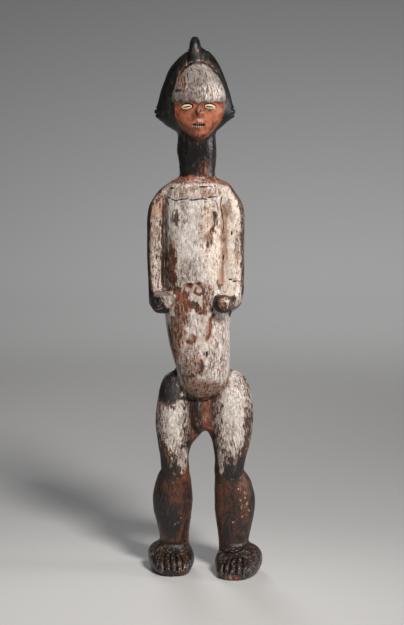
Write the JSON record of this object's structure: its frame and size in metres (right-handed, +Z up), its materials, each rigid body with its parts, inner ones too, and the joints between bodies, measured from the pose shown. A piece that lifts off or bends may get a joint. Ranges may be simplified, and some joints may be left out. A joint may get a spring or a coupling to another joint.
{
  "type": "reliquary figure",
  "caption": "Standing carved wooden reliquary figure with long trunk, fists at the belly, flared coiffure with a crest, and shell eyes.",
  "frame": {"origin": "middle of the footprint box at the level of the soles", "axes": "+Z up along the figure, the figure faces -Y, its own left hand is towards +X"},
  "size_m": [0.1796, 0.1414, 0.8246],
  "materials": {
    "painted_wood": "carved wood under flaking white kaolin, red and black paint, worn glossy on the feet and the coiffure",
    "cowrie_shell": "polished cream shell"
  },
  "bodies": {
    "root": {"figure": "painted_wood", "eye_shell_left": "cowrie_shell", "eye_shell_right": "cowrie_shell"}
  },
  "joints": []
}
